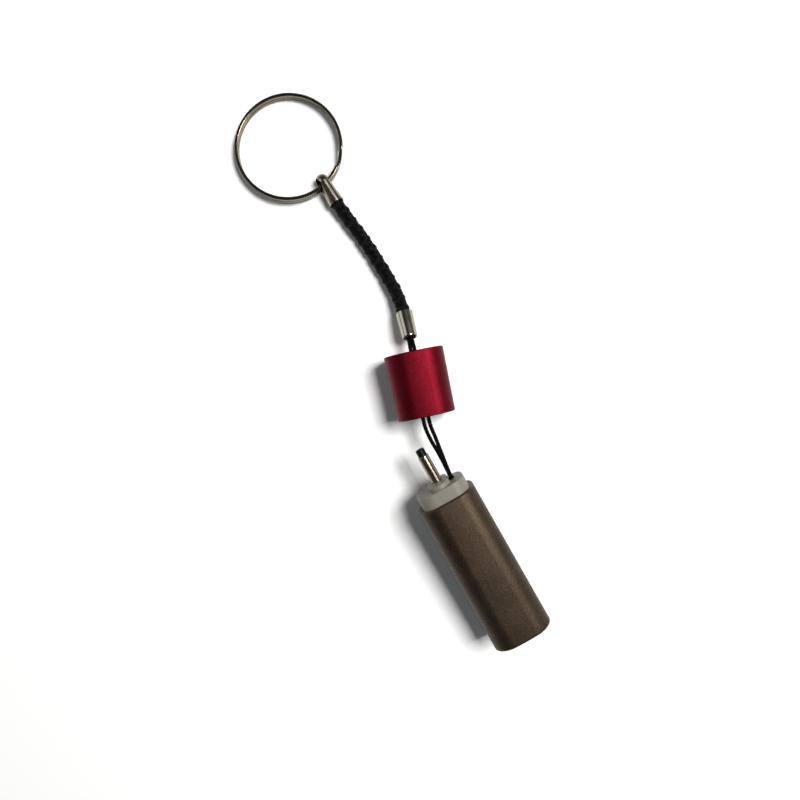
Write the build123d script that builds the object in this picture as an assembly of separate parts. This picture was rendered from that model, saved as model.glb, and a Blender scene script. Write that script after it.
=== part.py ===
"""Keychain flashlight with a charging pin, a slip-off cap on the lanyard cord and a split key ring.

The object lies on a table, z = 0. The torch lies along Y: its closed lens end points to -Y,
its charging end to +Y. It rests on the lens end and on the push button in its back.
Torch pieces are modelled about the shell's axis: local Y along the shell, y = 0 at its lip,
local Z towards the front face. Then they are all set down together, with the same tilt.
"""
from build123d import *
from math import asin, cos, degrees, pi, radians, sin, tan
import os

# --- driving dimensions, millimetres -------------------------------------------------------
SHELL_W, SHELL_D, SHELL_L = 13.35, 12.6, 34.9    # width and depth at the mouth, and length
LENS_END_W = 13.85                               # the shell grows a little wider to its closed end
WALL = 0.9
LONG_EDGE_R = 4.4                                # rounding of the shell's long edges
END_R = 0.5                                      # rounding of its closed end
CROWN_R = 45.0                                   # the four sides are slightly crowned
TILT, YAW = 4.0, 0.1                             # degrees, the button props the torch up
LIP = (-6.696, -32.399, 8.765)                   # centre of the shell's mouth

SPIGOT, PLUG_DEPTH = 2.95, 3.9                   # how far the end plug stands out, and reaches in
FIT = 0.1                                        # gap round the plug
PLUG_RIM_R = 0.3                                 # rounding of its rim and of the boss on it
BOSS_W, BOSS_H, BOSS_SPAN = 4.8, 1.05, 9.6
BOSS_TOP = SPIGOT + BOSS_H
PIN_R, PIN_L, PIN_TIP = 1.25, 9.1, 1.65          # charging pin: radius, length past the plug face
PIN_SHANK_R, PIN_BORE_R = 1.0, 0.6               # the barrel inside the plug, and its bore
PIN_TIP_R, CONTACT_R = 1.0, 0.35                 # the black insulating tip, the contact in it
CORD_HOLE_X, CORD_HOLE_Z = 3.1, -0.6
CORD_HOLE_L, CORD_HOLE_W = 3.3, 1.45
ANCHOR_Y, ANCHOR_R = 0.25, 0.5

CELL_R, CELL_L, CELL_Y, CELL_Z = 3.45, 20.0, -8.2, 1.55
BOARD_Z, BOARD_T, BOARD_W = -2.5, 0.8, 9.6       # top face, thickness and width of the board
BOARD_Y0, BOARD_Y1 = -28.7, -3.0
BUTTON_Y, BUTTON_R, BUTTON_PROUD = -8.0, 3.2, 1.91
LENS_R = 3.0

CAP_L, CAP_HOLE_R, CAP_PLATE = 14.6, 1.8, 1.2
CAP_TOP_W, CAP_TOP_D, CAP_TOP_CORNER = 13.45, 12.6, 5.0
CAP_MOUTH_W, CAP_MOUTH_D, CAP_MOUTH_CORNER = 12.95, 12.0, 4.8
CAP_CROWN_R = 20.0
CAP_FIT = 0.05                                   # gap between the cap's bore and the spigot
CAP_TOP = (2.70, -0.93, 6.3)                     # centre of the cap's closed end
CAP_MOUTH = (-1.56, -14.83, 6.0)

RING_OD, RING_T, RING_TURN_H, RING_GAP = 25.0, 0.78, 1.02, 0.04
RING_CENTRE = (0.93, 54.5)
EYE = (3.92, 43.31, 2.06)                        # where the ring passes through the clasp
EYE_R, EYE_WALL = 1.62, 0.5
STRAP_W, STRAP_ROUND = 2.5, 1.1                  # width of the rolled strap, rounding of its edges
CLASP_ROLL = 14.0                                # degrees, the clasp leans to one side
CLASP_DIR = (0.078, -0.9965, -0.03)
CLASP_L, CLASP_MOUTH_R, CLASP_GRIP = 5.45, 1.875, 2.7   # eye's centre to mouth, barrel, depth on the cord

FERRULE_L = 6.3
FERRULE_TOP = (5.43, 7.99, 3.4)
FERRULE_DIR = (-0.272, -0.928, 0.254)
BRAID_D, LOOP_D = 3.1, 0.95

# Routes of the two cords, from end to end.
BRAID_ROUTE = [
    (4.142, 40.47, 1.975), (4.56, 35.14, 1.81), (5.72, 27.60, 1.60), (6.20, 19.20, 1.62),
    (6.246, 10.774, 2.638), (4.505, 4.835, 4.264),
]
LOOP_ROUTE = [
    (3.92, 3.71, 4.24), (2.20, -0.79, 5.98), (0.53, -6.55, 6.32), (-0.98, -11.35, 6.65),
    (-3.05, -15.80, 7.00), (-3.52, -19.60, 7.30), (-3.34, -24.00, 7.42),
    (-3.60, -28.835, 7.457), (-3.60, -33.022, 7.127), (-3.60, -33.179, 9.121),
    (-3.60, -28.992, 9.451), (-2.92, -24.20, 8.60), (-2.28, -20.00, 7.92),
    (-1.88, -16.10, 7.36), (0.18, -11.65, 6.80), (1.55, -6.85, 6.38), (3.20, -1.07, 6.12),
    (4.40, 3.57, 5.08),
]


# --- helpers -------------------------------------------------------------------------------
def crowned_section(width, depth, corner, crown):
    """A rounded rectangle whose four sides are arcs of radius crown, tangent to its corners."""
    side, front = Vector(width / 2 - crown, 0), Vector(0, depth / 2 - crown)
    half = (front - side).length / 2
    reach = ((crown - corner) ** 2 - half ** 2) ** 0.5
    along = (front - side).normalized()
    centre = (side + front) * 0.5 + Vector(-along.Y, along.X) * reach
    on_front = front + (centre - front).normalized() * crown
    on_side = side + (centre - side).normalized() * crown
    bulge = centre + ((on_front + on_side) * 0.5 - centre).normalized() * corner

    def at(point, sx, sy):
        return (point.X * sx, point.Y * sy)

    edges = []
    for s in (1, -1):
        edges.append(ThreePointArc(at(on_front, -1, s), (0, s * depth / 2), at(on_front, 1, s)))
        edges.append(ThreePointArc(at(on_side, s, 1), (s * width / 2, 0), at(on_side, s, -1)))
        for t in (1, -1):
            edges.append(ThreePointArc(at(on_front, s, t), at(bulge, s, t), at(on_side, s, t)))
    return make_face(edges)


def along_y(section, y0, y1):
    """A solid with this X-Z section, from y0 to y1."""
    plane = Plane(origin=(0, y1, 0), x_dir=(1, 0, 0), z_dir=(0, -1, 0))
    return extrude(plane * section, y1 - y0)


def rod_y(radius, y0, y1, x=0, z=0):
    return along_y(Pos(x, z) * Circle(radius), y0, y1)


def rod_z(radius, z0, z1, x=0, y=0):
    return Pos(x, y, (z0 + z1) / 2) * Cylinder(radius, z1 - z0)


def block(x, y, z):
    """A box between two values along each axis."""
    size = [b - a for a, b in (x, y, z)]
    middle = [(a + b) / 2 for a, b in (x, y, z)]
    return Pos(*middle) * Box(*size)


def turned(profile):
    """A solid of revolution about Z from (radius, height) points."""
    face = make_face(Polyline([(r, 0, h) for r, h in profile], close=True))
    return revolve(face, Axis.Z)


def set_on(origin, direction, solid, x_dir=None):
    """Place a solid so that its Z axis runs along direction from origin."""
    return Plane(origin=origin, x_dir=x_dir, z_dir=direction).location * solid


def shift(point, direction, distance):
    return tuple(p + d * distance for p, d in zip(point, direction))


def cord(name, route, diameter):
    """A tube of straight runs and tangent arcs, each arc as large as its two runs allow."""
    points = [Vector(*p) for p in route]
    runs = [b - a for a, b in zip(points, points[1:])]
    radii = []
    for before, after in zip(runs, runs[1:]):
        half_turn = radians(before.get_angle(after)) / 2
        radii.append(0.45 * min(before.length, after.length) / tan(half_turn))
    path = FilletPolyline(*route, radius=radii)
    start = Plane(origin=path @ 0, z_dir=path % 0)
    tube = sweep(start * Circle(diameter / 2), path=path)
    ideal = pi * diameter ** 2 / 4 * path.length
    print(name, "length", round(path.length, 2), "radii", [round(r, 1) for r in radii],
          "volume ratio", round(tube.volume / ideal, 4))
    return tube


# --- torch ---------------------------------------------------------------------------------
def outer_section(inset):
    return crowned_section(SHELL_W - 2 * inset, SHELL_D - 2 * inset,
                           LONG_EDGE_R - inset, CROWN_R - inset)


def make_shell():
    mouth = Plane(origin=(0, 0, 0), x_dir=(1, 0, 0), z_dir=(0, -1, 0))
    wide = crowned_section(LENS_END_W, SHELL_D, LONG_EDGE_R, CROWN_R)
    shell = loft([mouth * outer_section(0), mouth.offset(SHELL_L) * wide])
    shell = fillet(shell.faces().sort_by(Axis.Y)[0].edges(), END_R)
    shell -= along_y(outer_section(WALL), WALL - SHELL_L, 1)
    shell -= rod_y(LENS_R + 0.1, -SHELL_L - 1, -SHELL_L + 2)
    shell -= rod_z(BUTTON_R + 0.12, -SHELL_D / 2 - 1, -SHELL_D / 2 + WALL + 1, y=BUTTON_Y)
    lip = shell.faces().sort_by(Axis.Y)[-1].outer_wire().edges()
    return chamfer(lip, 0.15)


def make_end_plug():
    inset = WALL + FIT
    plug = along_y(outer_section(inset), -PLUG_DEPTH, SPIGOT)
    plug = fillet(plug.faces().sort_by(Axis.Y)[-1].edges(), PLUG_RIM_R)
    boss = along_y(SlotOverall(BOSS_SPAN, BOSS_W, rotation=90), SPIGOT - 0.5, SPIGOT + BOSS_H)
    plug += fillet(boss.faces().sort_by(Axis.Y)[-1].edges(), PLUG_RIM_R)
    # channel for the loop cord, with room for the anchor pin across it
    slot = Pos(CORD_HOLE_X, CORD_HOLE_Z) * SlotOverall(CORD_HOLE_L, CORD_HOLE_W, rotation=90)
    plug -= along_y(slot, -1.6, SPIGOT + 1)
    plug -= Pos(CORD_HOLE_X, ANCHOR_Y, CORD_HOLE_Z) * Rot(Y=90) * Cylinder(ANCHOR_R, 2.9)
    # seat of the charging pin and the recess behind it
    plug -= rod_y(PIN_SHANK_R, -2.5, BOSS_TOP + 1)
    plug -= along_y(Pos(0, 0.4) * Rectangle(8.0, 6.2), -PLUG_DEPTH - 1, -2.5)
    plug -= block((-BOARD_W / 2 - 0.1, BOARD_W / 2 + 0.1), (-PLUG_DEPTH - 1, BOARD_Y1 + 0.1),
                  (BOARD_Z - BOARD_T - 0.05, BOARD_Z + 0.05))
    return plug


def make_dc_pin():
    """The plug's outer barrel, insulating tip and centre contact, with its two solder tabs."""
    tip = SPIGOT + PIN_L
    barrel = rod_y(PIN_SHANK_R, -4.2, BOSS_TOP) + rod_y(PIN_R, BOSS_TOP, tip - PIN_TIP)
    barrel = fillet(barrel.faces().sort_by(Axis.Y)[-1].edges(), 0.12)
    barrel -= rod_y(PIN_BORE_R, -5, tip + 1)
    insulator = rod_y(PIN_BORE_R, -4.6, tip - PIN_TIP) + rod_y(PIN_TIP_R, tip - PIN_TIP, tip)
    insulator = fillet(insulator.faces().sort_by(Axis.Y)[-1].edges(), 0.3)
    insulator -= rod_y(CONTACT_R, -6, tip + 1)
    contact = rod_y(CONTACT_R, -5.2, tip - 0.25) - rod_y(0.2, tip - 3.5, tip + 1)
    shell_tab = block((-0.9, 0.9), (-4.6, -4.2), (-2.2, 1.0)) - rod_y(PIN_BORE_R + 0.05, -5, -4)
    shell_tab += block((-0.6, 0.6), (-5.6, -4.2), (-2.45, -2.2))
    centre_tab = block((1.3, 1.7), (-5.6, -5.2), (-2.45, 0.3)) + block((0.2, 1.7), (-5.6, -5.2), (-0.3, 0.3))
    return {"dc_barrel": barrel, "dc_insulator": insulator, "dc_centre_contact": contact,
            "dc_solder_tabs": Compound([shell_tab, centre_tab])}


def make_cell():
    """A small cylindrical cell: can, insulated cap and heat-shrunk sleeve."""
    back = CELL_Y - CELL_L
    can = rod_y(CELL_R, back, CELL_Y - 0.6, z=CELL_Z)
    can = fillet(can.faces().sort_by(Axis.Y)[0].edges(), 0.4)
    gasket = rod_y(CELL_R - 0.3, CELL_Y - 0.6, CELL_Y - 0.25, z=CELL_Z) - rod_y(2.0, -40, 0, z=CELL_Z)
    cap = rod_y(2.0, CELL_Y - 0.6, CELL_Y - 0.25, z=CELL_Z) + rod_y(1.5, CELL_Y - 0.25, CELL_Y, z=CELL_Z)
    sleeve = rod_y(CELL_R + 0.12, back + 0.5, CELL_Y - 0.6, z=CELL_Z) - rod_y(CELL_R, -40, 0, z=CELL_Z)
    return {"cell_can": can, "cell_gasket": gasket, "cell_cap": cap, "cell_sleeve": sleeve}


def make_cradle():
    """The cradle that carries the cell on top of the board and stands against the plug."""
    blank = along_y(outer_section(WALL + 0.15), -28.4, -6.0)
    blank &= block((-7, 7), (-40, 0), (BOARD_Z + 0.05, 7))
    blank -= rod_y(CELL_R + 0.17, -28.3, -7.6, z=CELL_Z)
    blank -= block((-3.0, 3.0), (-27.2, -9.0), (CELL_Z, 7))
    blank -= rod_y(1.7, -29, 0, z=CELL_Z)
    blank -= rod_y(2.2, -8.5, -7.4, z=CELL_Z)
    return blank


def make_board_parts():
    under = BOARD_Z - BOARD_T
    board = block((-BOARD_W / 2, BOARD_W / 2), (BOARD_Y0, BOARD_Y1), (under, BOARD_Z))
    board = fillet(board.edges().filter_by(Axis.Z), 0.6)
    chip = block((-2.0, 2.0), (-19.5, -15.5), (under - 0.9, under))
    chip = chamfer(chip.faces().sort_by(Axis.Z)[0].edges(), 0.15)
    leads = [block((side * 2.0 - 0.35, side * 2.0 + 0.35), (y - 0.2, y + 0.2), (under - 0.25, under))
             - chip for side in (-1, 1) for y in (-19.0, -18.0, -17.0, -16.0)]
    coil = block((-1.9, 1.9), (-25.2, -21.4), (under - 1.5, under))
    coil = fillet(coil.edges().filter_by(Axis.Z), 0.8)
    coil -= rod_z(1.1, under - 1.7, under - 1.2, y=-23.3)
    chips = [Pos(x, y, under - 0.25) * Box(0.6, 1.1, 0.5)
             for y in (-16.2, -19.0, -22.0, -24.4, -27.6) for x in (-3.7, 3.7)]
    charge_led = Pos(-3.4, -12.9, under - 0.3) * Box(0.8, 1.6, 0.6)
    return {"circuit_board": board, "control_chip": chip, "chip_leads": Compound(leads),
            "inductor": coil, "chip_components": Compound(chips), "status_led": charge_led}


def make_switch():
    """A tactile switch under the board and the push button that works it from outside."""
    under = BOARD_Z - BOARD_T
    body = block((-2.6, 2.6), (BUTTON_Y - 2.6, BUTTON_Y + 2.6), (under - 0.9, under))
    body = chamfer(body.edges().filter_by(Axis.Z), 0.5)
    plunger_hole = rod_z(1.05, under - 1.0, under - 0.2, y=BUTTON_Y)
    plunger = rod_z(1.0, under - 1.25, under - 0.6, y=BUTTON_Y)
    flange_top = under - 1.25
    flange_bottom = flange_top - 0.5
    button = rod_z(BUTTON_R + 0.45, flange_bottom, flange_top, y=BUTTON_Y)
    button += rod_z(BUTTON_R, -SHELL_D / 2 - BUTTON_PROUD, flange_top, y=BUTTON_Y)
    button = fillet(button.faces().sort_by(Axis.Z)[0].edges(), 0.9)
    dish = Pos(0, BUTTON_Y, -SHELL_D / 2 - BUTTON_PROUD - 8.75) * Sphere(9.0)
    return {"switch_body": body - plunger_hole, "switch_plunger": plunger, "push_button": button - dish}


def make_lamp():
    """Lens, reflector and light-emitting diode behind the hole in the closed end."""
    inside = -SHELL_L + WALL
    window = rod_y(LENS_R, -SHELL_L + 0.05, inside + 0.05) + rod_y(LENS_R + 0.6, inside + 0.05, inside + 0.8)
    bulge = 0.9
    window += Pos(0, inside + 0.8 + bulge - 2 * LENS_R, 0) * Sphere(2 * LENS_R) & rod_y(
        LENS_R + 0.1, inside + 0.7, inside + 2)
    mouth, back = inside + 0.85, -29.7
    cup = rod_y(4.3, mouth, back)
    bowl = [(3.9, 0.0), (3.6, 1.2), (3.1, 2.4), (2.5, 3.2), (2.5, 5.5), (0, 5.5), (0, 0)]
    cup -= set_on((0, mouth, 0), (0, 1, 0), turned(bowl))
    disc = rod_y(4.3, -29.65, -28.85)
    base = block((-1.7, 1.7), (-30.35, -29.65), (-1.7, 1.7))
    base = fillet(base.edges().filter_by(Axis.Y), 0.3)
    dome = Pos(0, -30.35, 0) * Sphere(1.25) & rod_y(2, -32, -30.35)
    return {"lens_window": window, "reflector": cup, "lamp_board": disc,
            "led_base": base, "led_dome": dome}


def make_wires():
    """Nickel strips on the ends of the cell, and two wires from the board to the lamp."""
    back = CELL_Y - CELL_L
    front_strip = block((-1.2, 1.2), (CELL_Y, CELL_Y + 0.2), (CELL_Z - 1.2, CELL_Z + 1.2))
    back_strip = block((-1.2, 1.2), (back - 0.2, back), (CELL_Z - 1.2, CELL_Z + 1.2))
    wire_z = BOARD_Z - BOARD_T - 0.22
    wires = [rod_y(0.22, -28.85, -26.4, x, wire_z) for x in (-2.0, 2.0)]
    return {"cell_strips": Compound([front_strip, back_strip]), "lamp_wires": Compound(wires)}


def make_torch():
    parts = {"shell": make_shell(), "end_plug": make_end_plug()}
    parts.update(make_dc_pin())
    parts["anchor_pin"] = Pos(CORD_HOLE_X, ANCHOR_Y, CORD_HOLE_Z) * Rot(Y=90) * Cylinder(ANCHOR_R, 2.9)
    parts.update(make_cell())
    parts["cell_cradle"] = make_cradle()
    parts.update(make_board_parts())
    parts.update(make_switch())
    parts.update(make_lamp())
    parts.update(make_wires())
    place = Location(LIP, (TILT, 0, YAW))
    return {name: place * solid for name, solid in parts.items()}


# --- lanyard -------------------------------------------------------------------------------
def make_cap():
    """The slip-off cap: a cup of the torch's own section with a cord hole in its closed end."""
    down = (Vector(*CAP_MOUTH) - Vector(*CAP_TOP)).normalized()
    top = Plane.XY * crowned_section(CAP_TOP_W, CAP_TOP_D, CAP_TOP_CORNER, CAP_CROWN_R)
    open_end = crowned_section(CAP_MOUTH_W, CAP_MOUTH_D, CAP_MOUTH_CORNER, CAP_CROWN_R)
    mouth = Plane.XY.offset(CAP_L) * open_end
    cup = loft([top, mouth])
    rim = cup.faces().sort_by(Axis.Z)[0].edges()
    cup = fillet(rim, 0.3)
    cup = chamfer(cup.faces().sort_by(Axis.Z)[-1].edges(), 0.12)
    bore = extrude(outer_section(WALL + FIT - CAP_FIT), CAP_L - CAP_PLATE)
    cup -= Pos(0, 0, CAP_PLATE) * bore
    cup -= Cylinder(CAP_HOLE_R, 3 * CAP_PLATE)
    return {"cap": set_on(CAP_TOP, down, cup, x_dir=down.cross(Vector(0, 0, 1)))}


def make_ferrule():
    """The crimped tube that joins the thick cord to the thin loop."""
    tube = turned([(1.15, FERRULE_L), (1.15, 3.6), (1.58, 3.6), (1.58, 0), (1.95, 0),
                   (1.93, 0.8), (1.74, FERRULE_L)])
    foot = tube.edges().filter_by(GeomType.CIRCLE).group_by(Axis.Z)[-1].sort_by(SortBy.RADIUS)[-1]
    return set_on(FERRULE_TOP, FERRULE_DIR, fillet(foot, 0.45))


def make_clasp():
    """A crimp barrel that narrows to a strap with rounded edges, rolled into an eye round the key ring."""
    strap = RectangleRounded(STRAP_W, 2 * (EYE_R + EYE_WALL), STRAP_ROUND)
    body = loft([Plane.XY * Circle(CLASP_MOUTH_R), Plane.XY.offset(CLASP_L) * strap])
    half = strap & Pos(0, 5) * Rectangle(10, 10)
    body += Pos(0, 0, CLASP_L) * revolve(half, Axis.X)
    body -= Pos(0, 0, CLASP_L) * Rot(Y=90) * Cylinder(EYE_R, 2 * STRAP_W)
    body -= Cylinder(BRAID_D / 2 + 0.03, 2 * CLASP_GRIP)
    # the slit where the rolled strap comes back to the barrel
    body -= Pos(0, -EYE_R, CLASP_L - 1.3) * Rot(X=-30) * Box(2 * STRAP_W, 1.5, 0.18)
    mouth_at = shift(EYE, CLASP_DIR, CLASP_L)
    back = tuple(-d for d in CLASP_DIR)
    level = Vector(*CLASP_DIR).cross(Vector(0, 0, 1))
    return set_on(mouth_at, back, Rot(Z=CLASP_ROLL) * body, x_dir=level)


def make_key_ring():
    """Two turns of flat wire, with one short step between them."""
    mean_r = (RING_OD - RING_T) / 2
    rise = RING_TURN_H + RING_GAP
    step, gap = 20.0, 2.0                         # degrees: the step, and each wire end to it
    section = RectangleRounded(RING_T, RING_TURN_H, 0.2)

    def section_at(angle, height):
        a = radians(angle)
        plane = Plane(origin=(mean_r * cos(a), mean_r * sin(a), height),
                      x_dir=(cos(a), sin(a), 0), z_dir=(-sin(a), cos(a), 0))
        return plane * section

    sweep_arc = 360 - step / 2 - gap - step / 2
    low = revolve(section_at(step / 2 + gap, 0), Axis.Z, revolution_arc=sweep_arc)
    high = revolve(section_at(step / 2, rise), Axis.Z, revolution_arc=sweep_arc)
    stations = 6
    ramp = []
    for i in range(stations + 1):
        t = i / stations
        ramp.append(section_at(-step / 2 + step * t, rise * t * t * (3 - 2 * t)))
    ring = low + loft(ramp, ruled=True) + high

    # The clasp lifts one side of the ring, and the far side rests on the table.
    to_eye = Vector(EYE[0] - RING_CENTRE[0], EYE[1] - RING_CENTRE[1], 0)
    mid_low = RING_TURN_H / 2
    lift = degrees(asin((EYE[2] - mid_low - rise / 2) / (2 * mean_r)))
    centre_z = (EYE[2] + mid_low + rise / 2) / 2
    hinge = Vector(0, 0, 1).cross(to_eye)
    ring = Pos(0, 0, -rise / 2) * Rot(Z=-40) * ring
    ring = ring.rotate(Axis((0, 0, 0), hinge), -lift)
    return Pos(RING_CENTRE[0], RING_CENTRE[1], centre_z) * ring


def make_lanyard():
    parts = make_cap()
    parts["ferrule"] = make_ferrule()
    parts["clasp"] = make_clasp()
    parts["key_ring"] = make_key_ring()
    parts["braided_cord"] = cord("braided_cord", BRAID_ROUTE, BRAID_D)
    parts["loop_cord"] = cord("loop_cord", LOOP_ROUTE, LOOP_D)
    return parts


# --- write one file for each piece ---------------------------------------------------------
os.makedirs("parts", exist_ok=True)
pieces = make_torch()
pieces.update(make_lanyard())
for node, solid in pieces.items():
    export_step(solid, f"parts/{node}.step")
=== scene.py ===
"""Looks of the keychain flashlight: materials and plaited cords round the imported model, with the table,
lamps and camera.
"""
import bpy
import math
from mathutils import Matrix, Vector


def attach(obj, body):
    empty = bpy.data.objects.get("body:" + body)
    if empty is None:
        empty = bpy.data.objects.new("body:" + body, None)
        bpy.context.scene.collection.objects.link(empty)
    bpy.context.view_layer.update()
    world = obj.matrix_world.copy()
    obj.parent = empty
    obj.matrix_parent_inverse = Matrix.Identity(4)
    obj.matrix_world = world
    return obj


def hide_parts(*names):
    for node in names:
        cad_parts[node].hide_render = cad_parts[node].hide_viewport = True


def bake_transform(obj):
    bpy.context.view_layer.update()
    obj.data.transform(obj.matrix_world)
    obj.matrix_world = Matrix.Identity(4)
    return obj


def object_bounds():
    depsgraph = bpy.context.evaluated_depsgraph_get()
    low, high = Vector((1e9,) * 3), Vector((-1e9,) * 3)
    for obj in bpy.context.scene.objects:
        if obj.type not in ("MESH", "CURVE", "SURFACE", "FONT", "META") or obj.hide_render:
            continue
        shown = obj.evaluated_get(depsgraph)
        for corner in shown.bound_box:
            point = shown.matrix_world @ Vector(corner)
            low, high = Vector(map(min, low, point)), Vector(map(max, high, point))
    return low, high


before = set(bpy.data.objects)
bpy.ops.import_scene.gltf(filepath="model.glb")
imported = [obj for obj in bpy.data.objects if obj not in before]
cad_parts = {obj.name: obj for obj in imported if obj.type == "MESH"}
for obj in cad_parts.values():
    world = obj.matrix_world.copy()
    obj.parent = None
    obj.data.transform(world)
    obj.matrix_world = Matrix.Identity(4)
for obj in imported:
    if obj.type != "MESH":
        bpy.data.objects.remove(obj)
CAD_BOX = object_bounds()
MM = 0.001

# --- the table, the light and the camera -----------------------------------------------------
CAMERA_HEIGHT = 155 * MM
CAMERA_OVER = Vector((-5.1, -8.9, 0)) * MM       # the point of the table straight below the camera
CAMERA_ROLL = math.radians(29.2)                 # the torch lies askew in the view
TABLE_SEEN = 186.8 * MM                          # width of table that fills the view


def aim(thing, place, target):
    """Put a lamp at a place, pointing its -Z at a target."""
    thing.location = place
    thing.rotation_mode = "QUATERNION"
    thing.rotation_quaternion = (Vector(target) - Vector(place)).to_track_quat("-Z", "Y")


def make_camera():
    camera = bpy.data.objects.new("camera", bpy.data.cameras.new("camera"))
    bpy.context.scene.collection.objects.link(camera)
    camera.location = CAMERA_OVER + Vector((0, 0, CAMERA_HEIGHT))
    camera.rotation_euler = (0, 0, -CAMERA_ROLL)
    camera.data.sensor_width = 36
    camera.data.lens = 36 * CAMERA_HEIGHT / TABLE_SEEN
    camera.data.clip_start = 0.005
    camera.data.clip_end = 20
    bpy.context.scene.camera = camera


def view_direction(right, up, height):
    """A direction given by the view's right and up and the height above the table."""
    roll = Matrix.Rotation(-CAMERA_ROLL, 3, "Z")
    return roll @ Vector((right, up, height))


def make_lamp(name, direction, distance, size, power, colour):
    """A square soft lamp, in metres and watts, which points at the middle of the object."""
    data = bpy.data.lights.new(name, "AREA")
    data.shape = "SQUARE"
    data.size = size
    data.energy = power
    data.color = colour
    lamp = bpy.data.objects.new(name, data)
    bpy.context.scene.collection.objects.link(lamp)
    aim(lamp, direction.normalized() * distance, (0, 0, 0))


def make_stage():
    bpy.ops.mesh.primitive_circle_add(vertices=64, radius=1.5, fill_type="NGON",
                                      location=(0, 0, CAD_BOX[0][2]))
    floor = bpy.context.object
    floor.name = "table_top"
    floor.data.materials.append(table_finish())
    world = bpy.data.worlds.new("studio")
    bpy.context.scene.world = world
    world.use_nodes = True
    nodes, links = world.node_tree.nodes, world.node_tree.links
    split = nodes.new("ShaderNodeSeparateXYZ")
    sky = nodes.new("ShaderNodeValToRGB")        # pale near the horizon, dim overhead
    sky.color_ramp.elements[0].color = (0.34, 0.345, 0.35, 1)
    sky.color_ramp.elements[1].color = (0.055, 0.056, 0.058, 1)
    sky.color_ramp.elements[1].position = 0.55
    links.new(nodes.new("ShaderNodeTexCoord").outputs["Generated"], split.inputs["Vector"])
    links.new(split.outputs["Z"], sky.inputs["Fac"])
    links.new(sky.outputs["Color"], nodes["Background"].inputs["Color"])
    make_lamp("key_lamp", view_direction(0.46, 0.22, 1.0), 0.75, 0.28, 7.6, (1.0, 0.99, 0.975))
    make_lamp("fill_lamp", view_direction(-0.9, 0.2, 0.5), 0.55, 0.30, 0.35, (0.88, 0.94, 1.0))
    bpy.context.scene.view_settings.view_transform = "Standard"


# --- shader writing --------------------------------------------------------------------------
class Value:
    """One output socket of a shader tree, which does arithmetic by adding Math nodes."""

    def __init__(self, finish, socket):
        self.finish = finish
        self.socket = socket

    def _math(self, operation, *values):
        return self.finish.node("ShaderNodeMath", {"operation": operation}, dict(enumerate(values)))

    def __add__(self, other):
        return self._math("ADD", self, other)

    __radd__ = __add__

    def __sub__(self, other):
        return self._math("SUBTRACT", self, other)

    def __rsub__(self, other):
        return self._math("SUBTRACT", other, self)

    def __mul__(self, other):
        return self._math("MULTIPLY", self, other)

    __rmul__ = __mul__

    def clamped(self):
        return self.finish.node("ShaderNodeClamp", {}, {"Value": self})


class Finish:
    """A material with one Principled BSDF, written with few words."""

    def __init__(self, name, **constants):
        self.material = bpy.data.materials.new(name)
        self.material.use_nodes = True
        self.tree = self.material.node_tree
        self.shader = self.tree.nodes["Principled BSDF"]
        for socket, value in constants.items():
            self.shader.inputs[socket.replace("_", " ")].default_value = value

    def node(self, kind, settings, sockets, output=0):
        made = self.tree.nodes.new(kind)
        for name, value in settings.items():
            setattr(made, name, value)
        for key, value in sockets.items():
            if isinstance(value, Value):
                self.tree.links.new(value.socket, made.inputs[key])
            else:
                made.inputs[key].default_value = value
        return Value(self, made.outputs[output])

    def place(self):
        return self.node("ShaderNodeTexCoord", {}, {}, "Object")

    def stretched(self, scale, place=None):
        return self.node("ShaderNodeMapping", {}, {"Vector": place or self.place(), "Scale": scale})

    def noise(self, scale, detail=2.0, roughness=0.5, place=None):
        return self.node("ShaderNodeTexNoise", {}, {"Vector": place or self.place(), "Scale": scale,
                                                    "Detail": detail, "Roughness": roughness}, "Fac")

    def cells(self, scale, place=None):
        """A random colour in each small cell, as three values."""
        sockets = {"Vector": place or self.place(), "Scale": scale}
        return self.node("ShaderNodeTexVoronoi", {}, sockets, "Color")

    def between(self, mask, first, second):
        def colour(c):
            return c if isinstance(c, Value) else (*c, 1)
        sockets = {0: mask, 6: colour(first), 7: colour(second)}
        return self.node("ShaderNodeMix", {"data_type": "RGBA"}, sockets, 2)

    def bump(self, height, strength, distance=0.0001):
        sockets = {"Height": height, "Strength": strength, "Distance": distance}
        normal = self.node("ShaderNodeBump", {}, sockets)
        self.tree.links.new(normal.socket, self.shader.inputs["Normal"])

    def set(self, socket, value):
        self.tree.links.new(value.socket, self.shader.inputs[socket])


def table_finish():
    finish = Finish("white_table", Roughness=0.85)
    finish.shader.inputs["Base Color"].default_value = (0.94, 0.94, 0.94, 1)
    return finish.material


def blasted_metal(name, dark, light, grain, roughness):
    """Bead-blasted and anodised aluminium: tiny facets, each with a random tone between dark and light, whose
    bright ones are painted sparkle standing in for glints, over a slow real drift in tone.
    """
    finish = Finish(name, Metallic=1.0)
    # painted sparkle: random dark and bright facets in the base colour stand in for glints of light
    painted_sparkle_facets = finish.cells(grain)
    drift = finish.noise(180, 3)
    finish.set("Base Color", finish.between((painted_sparkle_facets * 0.75 + drift * 0.35).clamped(), dark, light))
    finish.set("Roughness", (finish.noise(grain * 0.8) * 0.16 + (roughness - 0.08)).clamped())
    finish.bump(finish.noise(grain * 0.55, 3, 0.7), 0.5, 0.00006)
    return finish.material


def plated_metal(name, colour, roughness, along=(1, 1, 1), wear=0.06):
    """Nickel plate over formed metal: faint drawing lines and small smears."""
    finish = Finish(name, Metallic=1.0)
    smears = finish.noise(260, 4, 0.6)
    tone = tuple(c * 0.72 for c in colour)
    finish.set("Base Color", finish.between((smears * 1.4 - 0.3).clamped(), tone, colour))
    lines = finish.noise(2600, 2, 0.5, finish.stretched(along))
    finish.set("Roughness", (lines * wear + smears * 0.10 + (roughness - 0.05)).clamped())
    finish.bump(lines, 0.03, 0.00002)
    return finish.material


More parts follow.
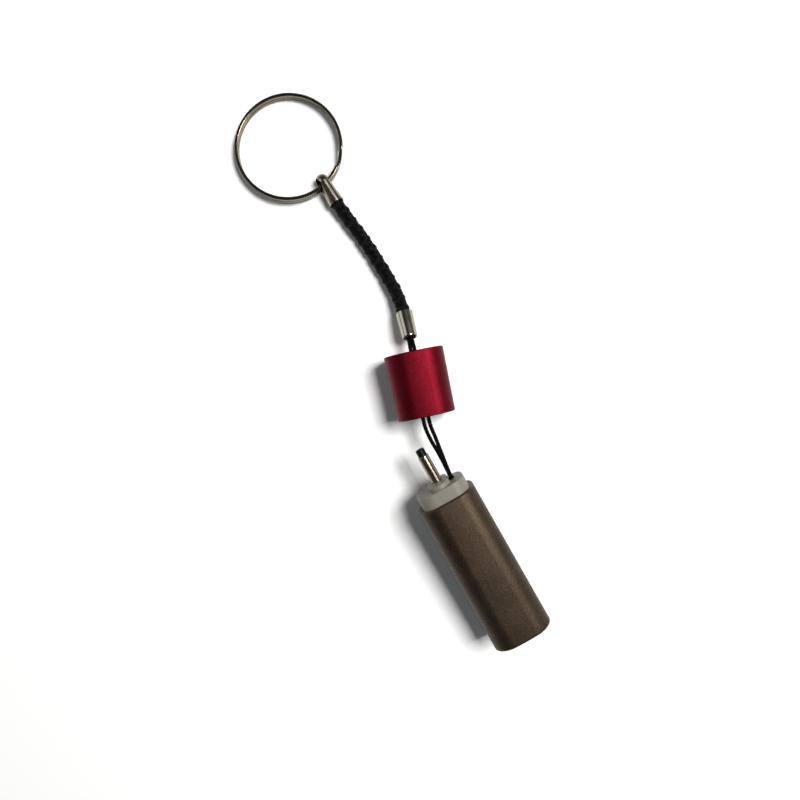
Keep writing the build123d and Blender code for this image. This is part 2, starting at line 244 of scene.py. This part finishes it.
def moulded_plastic(name, colour, roughness, grain=5200, texture=0.12, gloss=0.45):
    """Moulded plastic with a faint spark-eroded skin."""
    finish = Finish(name, Specular_IOR_Level=gloss)
    blotches = finish.noise(150, 3)
    tone = tuple(c * 0.88 for c in colour)
    finish.set("Base Color", finish.between(blotches, tone, colour))
    finish.set("Roughness", (finish.noise(700) * 0.14 + (roughness - 0.07)).clamped())
    finish.bump(finish.noise(grain, 2), texture, 0.00003)
    return finish.material


def board_finish(name):
    """Green lacquer over copper tracks."""
    finish = Finish(name, Coat_Weight=0.5, Coat_Roughness=0.15)
    tracks = finish.node("ShaderNodeTexBrick", {"offset": 0.37, "squash": 1.6},
                         {"Vector": finish.stretched((900, 420, 0)), "Scale": 1.0,
                          "Mortar Size": 0.07}, "Fac")
    finish.set("Base Color", finish.between(tracks, (0.010, 0.085, 0.030), (0.040, 0.190, 0.070)))
    finish.shader.inputs["Roughness"].default_value = 0.35
    return finish.material


def clear_finish(name, tint, roughness=0.03):
    finish = Finish(name, Roughness=roughness, Transmission_Weight=1.0, IOR=1.49)
    finish.shader.inputs["Base Color"].default_value = (*tint, 1)
    return finish.material


def lit_finish(name, colour, glow, strength):
    """A lamp's phosphor or a small indicator, which glows a little."""
    finish = Finish(name, Roughness=0.4, Emission_Strength=strength)
    finish.shader.inputs["Base Color"].default_value = (*colour, 1)
    finish.shader.inputs["Emission Color"].default_value = (*glow, 1)
    return finish.material


def dress(material, *nodes):
    for node in nodes:
        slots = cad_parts[node].data.materials
        slots.clear()
        slots.append(material)


def dress_torch():
    bronze_dark, bronze_light = (0.012, 0.0075, 0.005), (0.108, 0.079, 0.053)
    dress(blasted_metal("bronze_anodised", bronze_dark, bronze_light, 9000, 0.52), "shell")
    dress(moulded_plastic("gray_plug_plastic", (0.19, 0.175, 0.145), 0.5), "end_plug")
    dress(plated_metal("pin_nickel_plate", (0.40, 0.33, 0.25), 0.18, (1, 0.06, 1)), "dc_barrel")
    dress(moulded_plastic("black_insulator", (0.002, 0.002, 0.002), 0.4, gloss=0.12),
          "dc_insulator", "cell_gasket")
    dress(plated_metal("contact_gold", (0.72, 0.50, 0.20), 0.2), "dc_centre_contact", "dc_solder_tabs")
    dress(plated_metal("bright_steel", (0.55, 0.55, 0.54), 0.25),
          "anchor_pin", "cell_can", "cell_cap", "cell_strips")
    dress(plated_metal("tinned_legs", (0.6, 0.6, 0.58), 0.3), "chip_leads")
    dress(moulded_plastic("blue_sleeve", (0.012, 0.07, 0.28), 0.25), "cell_sleeve")
    dress(moulded_plastic("white_cradle_plastic", (0.72, 0.71, 0.66), 0.5), "cell_cradle", "switch_plunger")
    dress(board_finish("green_board"), "circuit_board", "lamp_board")
    dress(moulded_plastic("chip_black", (0.012, 0.012, 0.014), 0.5, 2600, 0.25),
          "control_chip", "chip_components")
    dress(moulded_plastic("gray_ferrite", (0.045, 0.045, 0.05), 0.6, 1800, 0.4), "inductor")
    dress(moulded_plastic("switch_black", (0.01, 0.01, 0.01), 0.35), "switch_body")
    dress(clear_finish("clear_lens", (0.97, 0.98, 0.98)), "lens_window", "led_dome")
    dress(lit_finish("lamp_phosphor", (0.85, 0.75, 0.25), (1.0, 0.85, 0.4), 0.15), "led_base")
    dress(lit_finish("green_indicator", (0.3, 0.7, 0.3), (0.2, 1.0, 0.3), 0.2), "status_led")
    dress(plated_metal("mirror_reflector", (0.86, 0.86, 0.86), 0.08, wear=0.01), "reflector")
    dress(plated_metal("copper_wire", (0.70, 0.32, 0.15), 0.3), "lamp_wires")
    dress(moulded_plastic("black_button_rubber", (0.012, 0.012, 0.012), 0.7, 3000, 0.3), "push_button")


def dress_lanyard():
    dress(blasted_metal("crimson_anodised", (0.030, 0.0008, 0.002), (0.180, 0.008, 0.018), 9500, 0.52), "cap")
    dress(plated_metal("clasp_nickel_plate", (0.38, 0.34, 0.27), 0.15, (1, 0.08, 1)), "clasp")
    dress(plated_metal("ferrule_nickel_plate", (0.46, 0.43, 0.34), 0.16, (1, 0.08, 1)), "ferrule")
    dress(plated_metal("ring_dark_nickel", (0.20, 0.17, 0.12), 0.16), "key_ring")


# --- cords -----------------------------------------------------------------------------------
# The points that each cord was laid along, from end to end, in millimetres.
BRAID_ROUTE = [
    (4.142, 40.47, 1.975), (4.56, 35.14, 1.81), (5.72, 27.60, 1.60), (6.20, 19.20, 1.62),
    (6.246, 10.774, 2.638), (4.505, 4.835, 4.264),
]
LOOP_ROUTE = [
    (3.92, 3.71, 4.24), (2.20, -0.79, 5.98), (0.53, -6.55, 6.32), (-0.98, -11.35, 6.65),
    (-3.05, -15.80, 7.00), (-3.52, -19.60, 7.30), (-3.34, -24.00, 7.42),
    (-3.60, -28.835, 7.457), (-3.60, -33.022, 7.127), (-3.60, -33.179, 9.121),
    (-3.60, -28.992, 9.451), (-2.92, -24.20, 8.60), (-2.28, -20.00, 7.92),
    (-1.88, -16.10, 7.36), (0.18, -11.65, 6.80), (1.55, -6.85, 6.38), (3.20, -1.07, 6.12),
    (4.40, 3.57, 5.08),
]
BRAID_D, LOOP_D = 3.1 * MM, 0.95 * MM
BRAID_LAY, LOOP_LAY = 10.6 * MM, 3.0 * MM        # length in which a strand goes once round
STRANDS_EACH_WAY = 4


def centre_line(name, route):
    """Points, close together, of the smooth line that a cord lies along."""
    curve = bpy.data.curves.new(name + "_line", "CURVE")
    curve.dimensions = "3D"
    spline = curve.splines.new("NURBS")
    spline.points.add(len(route) - 1)
    for point, place in zip(spline.points, route):
        point.co = (*(Vector(place) * MM), 1)
    spline.order_u = 3
    spline.use_endpoint_u = True
    spline.resolution_u = 40
    holder = bpy.data.objects.new(name + "_line", curve)
    line = [v.co.copy() for v in bpy.data.meshes.new_from_object(holder).vertices]
    bpy.data.objects.remove(holder)
    return line


def evenly(line, step):
    """The same line with its points about one step apart, and the distance run at each."""
    run = [0.0]
    for a, b in zip(line, line[1:]):
        run.append(run[-1] + (b - a).length)
    count = round(run[-1] / step)
    points, i = [], 0
    for n in range(count + 1):
        want = run[-1] * n / count
        while i < len(line) - 2 and run[i + 1] < want:
            i += 1
        share = (want - run[i]) / (run[i + 1] - run[i])
        points.append(line[i].lerp(line[i + 1], share))
    return points, run[-1] / count


def moving_axes(points):
    """Two directions across the line at each point, which turn no more than they must."""
    side = Vector((0, 0, 1))
    axes = []
    for i in range(len(points)):
        along = (points[min(i + 1, len(points) - 1)] - points[max(i - 1, 0)]).normalized()
        side = (side - along * side.dot(along)).normalized()
        axes.append((side.copy(), along.cross(side)))
    return axes


def plait(name, route, diameter, lay, step, sides):
    """A round plaited cord: strands wind both ways and pass over and under each other by turns."""
    carriers = STRANDS_EACH_WAY
    line = centre_line(name, route)
    points, step = evenly(line, step)
    axes = moving_axes(points)
    thick = 0.24 * diameter                          # a strand is a flattened bundle of yarn
    weave = 0.05 * diameter
    mean_r = diameter / 2 - thick / 2 - weave / 2
    wide = 2 * math.pi * mean_r / carriers * 1.08
    verts, faces, uvs = [], [], []
    for way in (1, -1):
        for strand in range(carriers):
            first = len(verts)
            for i, (place, (side, up)) in enumerate(zip(points, axes)):
                turn = way * 2 * math.pi * i * step / lay + 2 * math.pi * strand / carriers
                meets = carriers * (turn - way * 2 * math.pi * strand / carriers) * way
                radius = mean_r + weave * way * math.cos(meets + math.pi * strand)
                out = side * math.cos(turn) + up * math.sin(turn)
                across = up * math.cos(turn) - side * math.sin(turn)
                for k in range(sides):
                    a = 2 * math.pi * k / sides
                    spread = wide / 2 * math.cos(a)
                    proud = thick / 2 * math.sin(a) - spread * spread / (2 * mean_r)
                    verts.append(place + out * (radius + proud) + across * spread)
            for i in range(len(points) - 1):
                for k in range(sides):
                    a, b = first + i * sides + k, first + i * sides + (k + 1) % sides
                    faces.append((a, b, b + sides, a + sides))
                    u, v = i * step / MM, k / sides
                    u2, v2 = u + step / MM, v + 1 / sides
                    uvs.append(((u, v), (u, v2), (u2, v2), (u2, v)))
            for end, order in ((first, -1), (len(verts) - sides, 1)):
                faces.append(tuple(range(end, end + sides))[::order])
                uvs.append(((0, 0),) * sides)
    mesh = bpy.data.meshes.new(name)
    mesh.from_pydata(verts, [], faces)
    layer = mesh.uv_layers.new(name="yarn")
    for polygon, corners in zip(mesh.polygons, uvs):
        polygon.use_smooth = True
        for loop, uv in zip(polygon.loop_indices, corners):
            layer.data[loop].uv = uv
    piece = bpy.data.objects.new(name, mesh)
    bpy.context.scene.collection.objects.link(piece)
    return piece, line


def yarn_finish(name, shade):
    """Nylon yarn: fine filaments run along each strand."""
    finish = Finish(name, Roughness=0.45, Specular_IOR_Level=0.08)
    finish.shader.inputs["Base Color"].default_value = (shade, shade, shade, 1)
    uv = finish.node("ShaderNodeUVMap", {"uv_map": "yarn"}, {})
    threads = finish.node("ShaderNodeTexWave", {"wave_type": "BANDS", "bands_direction": "Y"},
                          {"Vector": finish.stretched((0.25, 9.0, 1.0), uv), "Scale": 1.0, "Distortion": 1.2,
                           "Detail": 2.0, "Detail Scale": 2.0}, "Fac")
    finish.bump(threads, 0.5, 0.00008)
    return finish.material


def make_cords():
    braid, line = plait("braided_cord_plait", BRAID_ROUTE, BRAID_D, BRAID_LAY, 0.22 * MM, 12)
    braid.data.materials.append(yarn_finish("black_nylon", 0.0012))
    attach(braid, "lanyard")
    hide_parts("braided_cord")
    loop, line = plait("loop_cord_plait", LOOP_ROUTE, LOOP_D, LOOP_LAY, 0.15 * MM, 8)
    loop.data.materials.append(yarn_finish("black_thin_nylon", 0.0012))
    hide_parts("loop_cord")
    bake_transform(loop)


make_camera()
make_cords()
dress_torch()
dress_lanyard()
make_stage()
